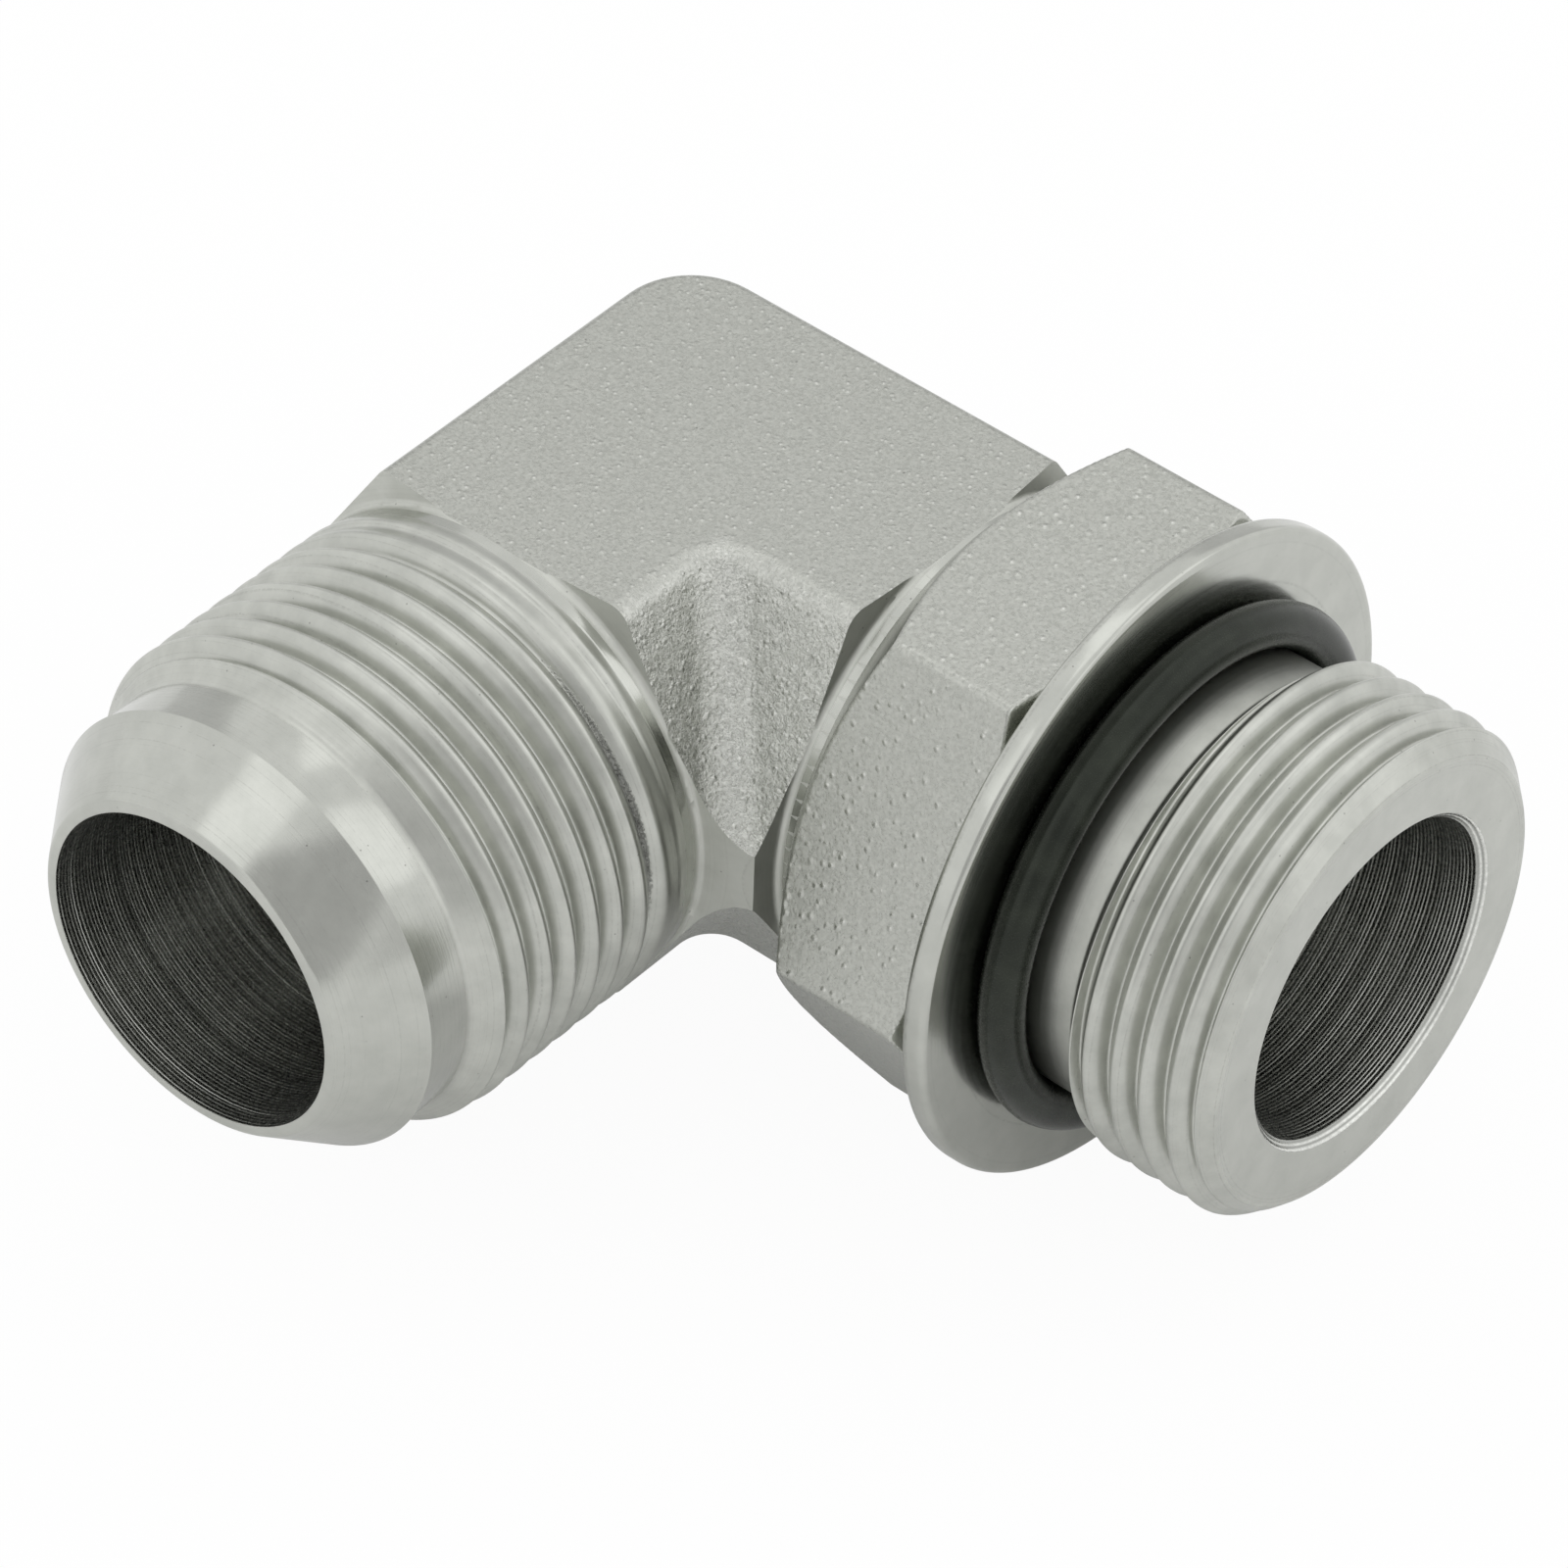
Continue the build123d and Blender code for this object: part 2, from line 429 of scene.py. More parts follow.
    def wave(self, value: bpy.types.NodeSocket, length: float) -> bpy.types.NodeSocket:
        """A sine over a value, from 0 to 1.

        Args:
            value: the value.
            length: its wave length.

        Returns:
            The wave.
        """
        node = self.add("Math", {"operation": "SINE"})
        self.put(node.inputs[0], self.times(value, 2 * np.pi / length))
        return self.remap(node.outputs[0], -1, 1, 0, 1)

    def bump(
        self, height: bpy.types.NodeSocket, depth: float, below: bpy.types.NodeSocket | None = None
    ) -> bpy.types.NodeSocket:
        """Bump of a depth in millimetres.

        Args:
            height: the height, 0 to 1.
            depth: millimetres from 0 to 1.
            below: a normal that this one is laid over.

        Returns:
            The normal.
        """
        node = self.add("Bump", Height=height, Distance=depth * MM, Strength=1.0)
        if below is not None:
            self.put(node.inputs["Normal"], below)
        return node.outputs["Normal"]


@dataclass(frozen=True)
class ForgedFinish:
    """Plated forging: crumpled grain under the plating, painted darker in its hollows and lighter on its peaks,
    blisters with a painted glint, and a few pits.
    """

    name: str = "forged_plate"
    light: tuple = (0.515, 0.524, 0.487)
    dark: tuple = (0.4, 0.408, 0.377)
    glint: tuple = (0.7, 0.705, 0.67)
    roughness: tuple = (0.24, 0.36)
    grain: float = 0.24
    crumple: float = 0.6
    grain_depth: float = 0.022
    wave: float = 0.7
    wave_depth: float = 0.03
    blister: float = 0.5
    blister_share: float = 0.55
    blister_depth: float = 0.03
    pit: float = 1.5

    def layer(self, s: Shader, place: bpy.types.NodeSocket) -> tuple:
        """Makes the finish's height, colour and roughness.

        The grain is noise that is bent by itself, the blisters are the middles of some cells of a random
        cell pattern, and the pits are the middles of a coarser one. The colour carries painted shade and
        highlight: darker where the grain is low and lighter where it is high, and the blisters' middles
        lightened towards the glint colour as a painted highlight.

        Args:
            s: the shader to add to.
            place: coordinates in millimetres.

        Returns:
            Height in millimetres, colour and roughness, as sockets.
        """
        fine = s.add("TexNoise", Vector=place, Scale=1 / self.grain, Detail=3, Roughness=0.6, Distortion=self.crumple)
        grain = fine.outputs["Fac"]
        wave = s.noise(place, self.wave, 3, 0.6)
        cells = s.add("TexVoronoi", {"feature": "F1"}, Vector=place, Scale=1 / self.blister)
        chosen = s.add("SeparateColor")
        s.put(chosen.inputs["Color"], cells.outputs["Color"])
        picked = s.remap(chosen.outputs["Red"], self.blister_share, self.blister_share + 0.05, 1, 0)
        dome = s.times(s.remap(cells.outputs["Distance"], 0.08, 0.4, 1, 0), picked)
        pits = s.add("TexVoronoi", {"feature": "F1"}, Vector=place, Scale=1 / self.pit).outputs["Distance"]
        pit = s.remap(pits, 0.03, 0.07, 1, 0)
        height = s.sum(
            s.times(wave, self.wave_depth), s.times(dome, self.blister_depth), s.times(grain, self.grain_depth)
        )
        # Painted shade and highlight: the grain that raises the bump also darkens the colour in its hollows and
        # lightens it on its peaks.
        colour = s.mix(s.remap(grain, 0.36, 0.66, 0, 1), self.dark, self.light)
        # Painted highlight: the blisters' middles are lightened towards the glint colour, most where the grain is
        # high.
        colour = s.tint(s.times(s.remap(dome, 0.5, 1, 0, 1), s.remap(grain, 0.4, 0.6, 0.2, 0.9)), colour, self.glint)
        colour = s.tint(s.times(pit, s.remap(wave, 0.45, 0.6, 0, 0.7)), colour, (0.12, 0.12, 0.11))
        return height, colour, s.remap(grain, 0.3, 0.7, *self.roughness)

    def build(self, inner: "ForgedFinish | None" = None, border: tuple = (8.6, 10.6)) -> bpy.types.Material:
        """Makes the material.

        Args:
            inner: the finish of the elbow's inner corner, where both x and -y are past the border.
            border: where the inner finish starts and where it is full, in millimetres.

        Returns:
            The material.
        """
        s = Shader(self.name)
        place = s.place()
        height, colour, rough = self.layer(s, place)
        if inner:
            parts = s.add("SeparateXYZ")
            s.put(parts.inputs[0], place)
            depth = s.fold("MINIMUM", (parts.outputs["X"], s.times(parts.outputs["Y"], -1.0)))
            ragged = s.sum(depth, s.times(s.noise(place, 0.9, 3, 0.6), 1.6), -0.8)
            share = s.remap(ragged, *border, 0, 1)
            other = inner.layer(s, place)
            height = s.blend(share, height, other[0])
            rough = s.blend(share, rough, other[2])
            colour = s.tint(share, colour, other[1])
        s.put(s.surface.inputs["Base Color"], colour)
        s.put(s.surface.inputs["Roughness"], rough)
        s.put(s.surface.inputs["Normal"], s.bump(height, 1.0))
        s.put(s.surface.inputs["Metallic"], 1.0)
        return s.material


@dataclass(frozen=True)
class TurnedFinish:
    """Plated turned steel: satin, with fine lines that run round the axis."""

    name: str
    light: tuple = (0.53, 0.54, 0.502)
    dark: tuple = (0.475, 0.485, 0.45)
    roughness: tuple = (0.13, 0.21)
    line: float = 0.12
    line_depth: float = 0.0012
    grain: float = 0.25
    grain_depth: float = 0.0007
    torn: bool = False

    def build(self) -> bpy.types.Material:
        """Makes the material: fine tool lines over a faint plated grain, and torn metal in a thread's run-out."""
        s = Shader(self.name)
        place = s.place()
        line = s.lines(self.line, 3)
        grain = s.noise(place, self.grain, 3, 0.6)
        stain = s.noise(place, 3.0, 4, 0.65)
        colour = s.mix(s.remap(stain, 0.35, 0.65, 0, 1), self.dark, self.light)
        streak = s.times(s.remap(line, 0.6, 0.72, 0, 0.35), s.remap(grain, 0.4, 0.6, 0, 1))
        colour = s.tint(streak, colour, (0.3, 0.3, 0.28))
        specks = s.add("TexVoronoi", {"feature": "F1"}, Vector=place, Scale=1 / 1.3).outputs["Distance"]
        colour = s.tint(s.remap(specks, 0.03, 0.06, 0.55, 0), colour, (0.14, 0.14, 0.13))
        normal = s.bump(line, self.line_depth)
        normal = s.bump(grain, self.grain_depth, normal)
        if self.torn:
            share = s.add("Attribute", {"attribute_name": "torn"}).outputs["Fac"]
            bite = s.noise(place, 0.22, 3, 0.7)
            mask = s.remap(s.sum(share, s.times(bite, 0.5)), 0.72, 0.9, 0, 1)
            normal = s.bump(s.times(mask, bite), 0.12, normal)
            colour = s.tint(s.times(mask, s.remap(bite, 0.35, 0.6, 0.95, 0.5)), colour, (0.1, 0.1, 0.095))
        s.put(s.surface.inputs["Base Color"], colour)
        s.put(s.surface.inputs["Roughness"], s.remap(line, 0.3, 0.7, *self.roughness))
        s.put(s.surface.inputs["Normal"], normal)
        s.put(s.surface.inputs["Metallic"], 1.0)
        return s.material


@dataclass(frozen=True)
class BoreFinish:
    """Drilled and reamed passage: close rings left by the tool's feed, under a dull plating, painted light on their
    crests and dark in their troughs.
    """

    name: str
    axis: StudAxis
    light: tuple = (0.84, 0.85, 0.81)
    dark: tuple = (0.36, 0.366, 0.345)
    roughness: tuple = (0.22, 0.32)
    feed: float = 0.27
    feed_depth: float = 0.03

    def build(self) -> bpy.types.Material:
        """Makes the material: a sine of the feed along the bore, with rings that come and go, and painted light and
        shade that follow them.
        """
        s = Shader(self.name)
        place = s.place()
        parts = s.add("SeparateXYZ")
        s.put(parts.inputs[0], place)
        depth = parts.outputs["X" if self.axis is StudAxis.PORT else "Y"]
        drift = s.add("TexNoise", {"noise_dimensions": "1D"}, W=depth, Scale=1 / 0.9, Detail=3).outputs["Fac"]
        rings_in = s.wave(s.sum(depth, s.times(drift, 0.25)), self.feed)
        grain = s.noise(place, 0.3, 3, 0.6)
        normal = s.bump(s.times(rings_in, s.remap(drift, 0.35, 0.65, 0.6, 1)), self.feed_depth)
        normal = s.bump(grain, 0.006, normal)
        # Painted highlight and shade: the colour follows the rings' height, from the raised light colour on their
        # crests to the dark one in their troughs.
        colour = s.mix(s.times(rings_in, s.remap(grain, 0.35, 0.65, 0.6, 1)), self.dark, self.light)
        s.put(s.surface.inputs["Base Color"], colour)
        s.put(s.surface.inputs["Roughness"], s.remap(grain, 0.3, 0.7, *self.roughness))
        s.put(s.surface.inputs["Normal"], normal)
        s.put(s.surface.inputs["Metallic"], 1.0)
        return s.material


@dataclass(frozen=True)
class RubberFinish:
    """Moulded black rubber with a satin skin and a little dust."""

    name: str = "moulded_rubber"
    colour: tuple = (0.009, 0.0105, 0.0085)
    dusty: tuple = (0.019, 0.022, 0.017)
    roughness: tuple = (0.2, 0.3)

    def build(self) -> bpy.types.Material:
        """Makes the material: fine skin grain, and wandering dusty patches."""
        s = Shader(self.name)
        place = s.place()
        skin = s.noise(place, 0.12, 3, 0.6)
        dust = s.noise(place, 2.2, 4, 0.6)
        s.put(s.surface.inputs["Base Color"], s.mix(s.remap(dust, 0.4, 0.7, 0, 1), self.colour, self.dusty))
        s.put(s.surface.inputs["Roughness"], s.remap(skin, 0.3, 0.7, *self.roughness))
        s.put(s.surface.inputs["Normal"], s.bump(skin, 0.002))
        s.put(s.surface.inputs["Specular IOR Level"], 0.32)
        s.put(s.surface.inputs["Specular Tint"], (0.92, 1.0, 0.86, 1))
        return s.material


@dataclass(frozen=True)
class Finishes:
    """Every finish of the adapter."""

    forged: ForgedFinish = ForgedFinish()
    # The web's light end is raised as painted light, and its colour follows its coarse grain as painted shade in the
    # hollows and painted highlight on the peaks, with a painted glint on the blisters.
    web: ForgedFinish = ForgedFinish(
        name="rough_web", light=(0.68, 0.687, 0.65), dark=(0.41, 0.418, 0.388), glint=(0.8, 0.805, 0.77),
        roughness=(0.22, 0.34), grain=0.3, crumple=1.6, grain_depth=0.07, wave=0.9, wave_depth=0.1,
        blister=0.5, blister_share=0.6, blister_depth=0.05,
    )
    nut: ForgedFinish = ForgedFinish(
        name="nut_flats", grain=0.26, grain_depth=0.016, blister=0.65, blister_depth=0.035
    )
    # The faced shoulders are coloured a little lighter than the turned plate, as painted light that lifts their
    # shade.
    faced: TurnedFinish = TurnedFinish(
        name="faced_shoulder", light=(0.6, 0.61, 0.57), dark=(0.54, 0.55, 0.51), roughness=(0.46, 0.56), line=0.16,
        line_depth=0.003,
    )
    turned: TurnedFinish = TurnedFinish(name="turned_plate")
    thread: TurnedFinish = TurnedFinish(
        name="cut_thread", light=(0.56, 0.57, 0.53), roughness=(0.28, 0.38), line=0.14, line_depth=0.001, torn=True
    )
    flare_bore: BoreFinish = BoreFinish(name="flare_bore", axis=StudAxis.FLARE)
    port_bore: BoreFinish = BoreFinish(name="port_bore", axis=StudAxis.PORT)
    washer: TurnedFinish = TurnedFinish(
        name="washer_plate", roughness=(0.16, 0.24), line=0.5, line_depth=0.0006, grain_depth=0.0016
    )
    rubber: RubberFinish = RubberFinish()


def dress(obj: bpy.types.Object, finishes: list, body: str, node: str) -> None:
    """Gives a piece its finishes, and says which CAD body and node it belongs to.

    Args:
        obj: the piece.
        finishes: its finishes, by material index.
        body: the body it moves with.
        node: the node it stands for.
    """
    for finish in finishes:
        known = bpy.data.materials.get(finish.name)
        obj.data.materials.append(known or finish.build())
    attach(obj, body)
    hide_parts(node)
    log.info("%s: %d faces", obj.name, len(obj.data.polygons))


# The adapter


@dataclass
class ForgedBlock:
    """The forged elbow between the studs, with its raked shoulders and its drilled passages."""

    node: bpy.types.Object
    mouth_r: float = 11.4
    flare_block_end: float = 19.2
    port_block_end: float = 20.85
    flare_shoulder: float = 18.7
    port_shoulder: float = 20.35
    land_r: float = 16.35
    rake: float = 10.0

    def solid(self) -> tuple[np.ndarray, np.ndarray]:
        """The node's triangles with their doubled vertices merged.

        Returns:
            Points in millimetres and triangles.
        """
        mesh = self.node.data
        shell = bmesh.new()
        shell.from_mesh(mesh)
        bmesh.ops.remove_doubles(shell, verts=shell.verts, dist=0.002 * MM)
        merged = bpy.data.meshes.new("merged_elbow")
        shell.to_mesh(merged)
        shell.free()
        points = np.zeros(len(merged.vertices) * 3)
        merged.vertices.foreach_get("co", points)
        corners = np.zeros(len(merged.loops), dtype=np.int32)
        merged.loops.foreach_get("vertex_index", corners)
        bpy.data.meshes.remove(merged)
        return points.reshape(-1, 3) / MM, corners.reshape(-1, 3)

    def sorted_faces(self, points: np.ndarray, triangles: np.ndarray) -> tuple[np.ndarray, np.ndarray]:
        """Drops the studs' own faces, and sorts the rest by how they are worked.

        Args:
            points: the points.
            triangles: the triangles.

        Returns:
            The kept triangles and the surface number of each.
        """
        corner = points[triangles]
        centre = corner.mean(1)
        flare_r = np.hypot(corner[..., 0], corner[..., 2])
        port_r = np.hypot(corner[..., 1], corner[..., 2])
        ahead_flare, ahead_port = -corner[..., 1], corner[..., 0]
        on_flare = (ahead_flare.min(1) > self.flare_block_end - 0.01) & (np.abs(centre[:, 0]) < 17.5)
        on_port = (ahead_port.min(1) > self.port_block_end - 0.01) & (np.abs(centre[:, 1]) < 17.5)
        in_flare = flare_r.max(1) < self.mouth_r
        in_port = port_r.max(1) < self.mouth_r
        stud = (on_flare & ~in_flare) | (on_port & ~in_port)
        stud |= on_flare & (ahead_flare.min(1) > 45.99)
        kept, corner, centre = triangles[~stud], corner[~stud], centre[~stud]
        flare_r, port_r = flare_r[~stud], port_r[~stud]
        slope = np.tan(np.radians(self.rake))
        flare_face = self.flare_shoulder - (flare_r - self.land_r) * slope
        port_face = self.port_shoulder - (port_r - self.land_r) * slope
        faced = (np.abs(-corner[..., 1] - flare_face).max(1) < 0.06) & (flare_r.min(1) > self.land_r - 0.6)
        faced |= (np.abs(corner[..., 0] - port_face).max(1) < 0.06) & (port_r.min(1) > self.land_r - 0.6)
        faced |= (-centre[:, 1] > self.flare_shoulder - 0.02) & (flare_r.min(1) > self.land_r - 0.1)
        faced |= (centre[:, 0] > self.port_shoulder - 0.02) & (port_r.min(1) > self.land_r - 0.1)
        round_y = flare_r.max(1) < self.mouth_r
        round_x = (port_r.max(1) < self.mouth_r) & ~(round_y & (-centre[:, 1] > centre[:, 0]))
        kind = np.full(len(kept), Surface.FORGED.value)
        kind[faced] = Surface.FACED.value
        kind[round_y] = Surface.FLARE_BORE.value
        kind[round_x] = Surface.PORT_BORE.value
        return kept, kind

    def build(self, finishes: Finishes) -> bpy.types.Object:
        """Makes the block: the node's own surface, less the studs, which are pieces of their own.

        Args:
            finishes: the adapter's finishes.

        Returns:
            The piece.
        """
        points, triangles = self.solid()
        triangles, kind = self.sorted_faces(points, triangles)
        used, back = np.unique(triangles, return_inverse=True)
        points, triangles = points[used], back.reshape(-1, 3)
        flare_r = np.hypot(points[:, 0], points[:, 2])
        port_r = np.hypot(points[:, 1], points[:, 2])
        along = np.where(points[:, 0] > -points[:, 1], port_r, flare_r)
        obj = write_mesh("forged_block", points, triangles, along, kind, sharp_angle=28)
        weighted = obj.modifiers.new("weighted_normals", "WEIGHTED_NORMAL")
        weighted.keep_sharp = True
        weighted.weight = 100
        finishes.forged.build(inner=finishes.web)
        worked = [finishes.forged, finishes.faced, finishes.flare_bore, finishes.port_bore]
        dress(obj, worked, "elbow", "elbow_body")
        return obj


@dataclass
class ThreadForm:
    """A right-hand thread with bulging crests and sharp roots, cut into a surface at its major radius."""

    crest_place: float
    pitch: float = 2.117
    depth: float = 1.12
    crest_share: float = 0.03
    root_share: float = 0.04
    straight: float = 0.4

    def cut(self, distance: np.ndarray, angles: int) -> np.ndarray:
        """How deep the thread is, from 0 on its crest to its full depth at the root.

        The place in the pitch is u = distance / pitch - angle / 360, and the depth rises along a flank
        that is partly straight and partly bulging, f(w) = s w + (1 - s) w^2.

        Args:
            distance: (stations,) distance along the axis.
            angles: points on each ring.

        Returns:
            (stations, angles) depth in millimetres.
        """
        turn = np.linspace(0, 1, angles, endpoint=False)
        u = (distance[:, None] - self.crest_place) / self.pitch - turn
        off_crest = np.abs((u + 0.5) % 1.0 - 0.5)
        w = np.clip((off_crest - self.crest_share) / (0.5 - self.root_share - self.crest_share), 0, 1)
        return self.depth * (self.straight * w + (1 - self.straight) * w**2)


@dataclass
class TurnedStud:
    """What both studs share: an envelope turned round an axis, with threads cut between two places."""

    name: str
    axis: StudAxis
    thread: ThreadForm
    envelope: list[tuple[float, float, float]]
    threads: list[tuple[float, float, float, float]]
    major_r: float = 16.67
    torn_at: float = -10.0
    torn_side: float = 0.6
    angles: int = 256
    spacing: float = 0.08

    def build(self, finishes: Finishes) -> bpy.types.Object:
        """Makes the stud: the lower of the envelope and the thread, as a radius over distance and angle.

        The thread's depth fades in over its run-out, and each row of threads holds where the thread
        starts to fade in, where it is full, where it is full until, and where it has faded out.

        Args:
            finishes: the adapter's finishes.

        Returns:
            The piece.
        """
        profile = soften(self.envelope)
        for start, _full, _until, end in self.threads:
            profile = refine(profile, start - 0.4, end + 0.4, self.spacing)
        distance, radius = profile.T
        outside = np.arange(len(distance)) <= np.argmax(distance)
        surface = np.repeat(radius[:, None], self.angles, 1)
        cut = self.thread.cut(distance, self.angles)
        threaded = np.zeros(len(distance), bool)
        ragged = np.zeros_like(surface)
        side = np.exp(3.0 * (np.cos(np.linspace(0, 2 * np.pi, self.angles, endpoint=False) - self.torn_side) - 1))
        for start, full, until, end in self.threads:
            fade = np.clip((distance - start) / max(full - start, 1e-6), 0, 1)
            fade *= np.clip((end - distance) / max(end - until, 1e-6), 0, 1)
            fade = fade * fade * (3 - 2 * fade)
            here = outside & (distance > start) & (distance < end)
            base = np.where((fade < 1)[:, None], surface, self.major_r)
            grooved = soft_min(surface, base - cut * fade[:, None], 0.06)
            surface = np.where(here[:, None], np.where(fade[:, None] > 0, grooved, surface), surface)
            threaded |= here
            middle = np.exp(-(((distance - self.torn_at) / 0.9) ** 2))[:, None]
            ragged += np.where(here[:, None], (cut / self.thread.depth) ** 2 * middle * side, 0)
        points = rings(distance[:, None], surface, self.axis).reshape(-1, 3)
        along = np.repeat(path_length(profile), self.angles)
        index = np.repeat((threaded[:-1] & threaded[1:]).astype(int), self.angles)
        obj = write_mesh(self.name, points, ring_faces(len(distance), self.angles), along, index)
        torn = obj.data.attributes.new("torn", "FLOAT", "POINT")
        torn.data.foreach_set("value", ragged.astype(np.float32).ravel())
        dress(obj, [finishes.turned, finishes.thread], "elbow", "elbow_body")
        return obj


def flare_stud() -> TurnedStud:
    """The stud along -Y: land, thread, neck, 37 degree cone and nose."""
    return TurnedStud(
        name="flare_stud",
        axis=StudAxis.FLARE,
        thread=ThreadForm(crest_place=30.34),
        envelope=[
            (19.2, 16.35, 0), (20.0, 16.35, 0.3), (20.8, 16.67, 0.5), (35.93, 16.67, 0.25), (37.7, 14.9, 0.35),
            (41.28, 14.9, 0.06), (41.29, 15.1, 0.06), (46.0, 11.55, 0.25), (46.0, 10.85, 0),
        ],
        threads=[(19.9, 25.2, 39.0, 39.5)],
        torn_at=22.6,
    )


def port_stud() -> TurnedStud:
    """The stud along +X: nut thread, neck for washer and seal, port thread, chamfer and mouth."""
    return TurnedStud(
        name="port_stud",
        axis=StudAxis.PORT,
        thread=ThreadForm(crest_place=47.45),
        envelope=[
            (20.85, 16.35, 0), (25.0, 16.35, 0.3), (25.32, 16.67, 0.3), (31.73, 16.67, 0.2), (33.6, 14.8, 0.3),
            (42.0, 14.8, 0.3), (43.08, 16.67, 0.25), (51.3, 16.67, 0.25), (52.9, 15.07, 0.2), (52.9, 11.35, 0),
        ],
        threads=[(24.6, 26.6, 34.0, 34.5), (41.6, 41.7, 53.0, 53.2)],
    )


@dataclass
class LockNut:
    """Hexagon nut: the hexagon cut by a bevel at each end, with rounded corners, and a threaded hole."""

    across_flats: float = 38.1
    rear: float = 22.2
    length: float = 12.4
    first_corner: float = 3.1
    rear_face_r: float = 17.8
    front_face_r: float = 20.1
    rear_bevel: float = 35.0
    front_bevel: float = 25.0
    hole_r: float = 16.73
    mouth: float = 0.8
    corner_round: float = 0.35
    bevel_round: float = 0.12
    mouth_round: float = 0.06
    angles: int = 720

    def build(self, finishes: Finishes) -> bpy.types.Object:
        """Makes the nut.

        The radius of the hexagon is half its width over cos(angle from the flat's middle). The bevels are
        cones, and the nut is the lower of the three, with each meeting rounded a little.

        Args:
            finishes: the adapter's finishes.

        Returns:
            The piece.
        """
        front = self.rear + self.length
        angle = np.degrees(np.linspace(0, 2 * np.pi, self.angles, endpoint=False)) - self.first_corner
        from_flat = np.radians((angle % 60) - 30)
        half = self.across_flats / 2
        hexagon = half / np.cos(from_flat)
        neighbour = half / np.cos(np.pi / 3 - np.abs(from_flat))
        hexagon = soft_min(hexagon, neighbour, self.corner_round)
        close = np.linspace(0, 3.6, 26)
        middle = np.linspace(self.rear + 3.9, front - 2.1, 12)
        distance = np.concatenate([self.rear + close, middle, front - close[18::-1] * 0.72])
        rear_cone = self.rear_face_r + (distance - self.rear) / np.tan(np.radians(self.rear_bevel))
        front_cone = self.front_face_r + (front - distance) / np.tan(np.radians(self.front_bevel))
        outer = soft_min(hexagon[None, :], rear_cone[:, None], self.bevel_round)
        outer = soft_min(outer, front_cone[:, None], self.bevel_round)
        step = self.mouth_round
        mouth_r = self.hole_r + self.mouth
        before = np.array([
            (self.rear + self.mouth, self.hole_r), (self.rear + step, mouth_r - step), (self.rear, mouth_r + step),
            (self.rear, self.rear_face_r - 0.2),
        ])
        after = np.array([
            (front, self.front_face_r - 0.25), (front, mouth_r + step), (front - step, mouth_r - step),
            (front - self.mouth, self.hole_r), (self.rear + self.mouth, self.hole_r),
        ])
        ring = np.ones(self.angles)
        distances = np.concatenate([before[:, 0], distance, after[:, 0]])
        radii = np.vstack([before[:, 1:] * ring, outer, after[:, 1:] * ring])
        points = rings(distances[:, None], radii, StudAxis.PORT)
        mean_r = radii.mean(1)
        along = np.repeat(path_length(np.column_stack([distances, mean_r])), self.angles)
        flat = hexagon[None, :] < np.minimum(rear_cone, front_cone)[:, None] - 0.02
        index = np.ones((len(distances), self.angles), int)
        index[len(before) : len(before) + len(distance)] = np.where(flat, 0, 1)
        index = np.minimum(index[:-1], index[1:])
        faces = ring_faces(len(distances), self.angles)
        obj = write_mesh("hex_nut", points.reshape(-1, 3), faces, along, index.ravel())
        dress(obj, [finishes.nut, finishes.turned], "nut", "lock_nut")
        return obj


@dataclass
class SealWasher:
    """Flat backup washer with a rolled outer rim."""

    back: float = 34.6
    thickness: float = 1.7
    outer_r: float = 21.897
    inner_r: float = 14.88
    rim: float = 0.55
    angles: int = 256

    def build(self, finishes: Finishes) -> bpy.types.Object:
        """Makes the washer: a closed profile with two rim quarter-rounds, turned round the port's axis.

        Args:
            finishes: the adapter's finishes.

        Returns:
            The piece.
        """
        front = self.back + self.thickness
        profile = soften(
            [
                (self.back + 0.5, self.inner_r, 0), (self.back, self.inner_r, 0.08), (self.back, 18.0, 0),
                (self.back, self.outer_r, self.rim), (front, self.outer_r, self.rim), (front, 18.0, 0),
                (front, self.inner_r, 0.12), (self.back + 0.5, self.inner_r, 0),
            ],
            steps=9,
        )
        radius = np.repeat(profile[:, 1:], self.angles, 1)
        points = rings(profile[:, :1], radius, StudAxis.PORT).reshape(-1, 3)
        along = np.repeat(path_length(profile), self.angles)
        obj = write_mesh("seal_washer", points, ring_faces(len(profile), self.angles), along, sharp_angle=50)
        dress(obj, [finishes.washer], "washer", "backup_washer")
        return obj


@dataclass
class SealRing:
    """Moulded O-ring: a circle carried round the port's axis, with the faint flash line of its mould."""

    station: float = 37.815
    path_r: float = 16.325
    section_d: float = 2.95
    flash: float = 0.02
    around: int = 48
    angles: int = 256

    def build(self, finishes: Finishes) -> bpy.types.Object:
        """Makes the ring: the section's radius rises by the flash on its outer and inner middle.

        Args:
            finishes: the adapter's finishes.

        Returns:
            The piece.
        """
        turn = np.linspace(0, 2 * np.pi, self.around + 1)
        section_r = self.section_d / 2 - self.flash + self.flash * np.exp(-((np.sin(turn) / 0.06) ** 2))
        distance = self.station - section_r * np.sin(turn)
        radius = self.path_r - section_r * np.cos(turn)
        profile = np.column_stack([distance, radius])
        points = rings(profile[:-1, :1], np.repeat(profile[:-1, 1:], self.angles, 1), StudAxis.PORT).reshape(-1, 3)
        faces = ring_faces(self.around + 1, self.angles) % (self.around * self.angles)
        along = np.repeat(path_length(profile)[:-1], self.angles)
        obj = write_mesh("seal_ring", points, faces, along)
        dress(obj, [finishes.rubber], "washer", "o_ring")
        return obj


# The studio


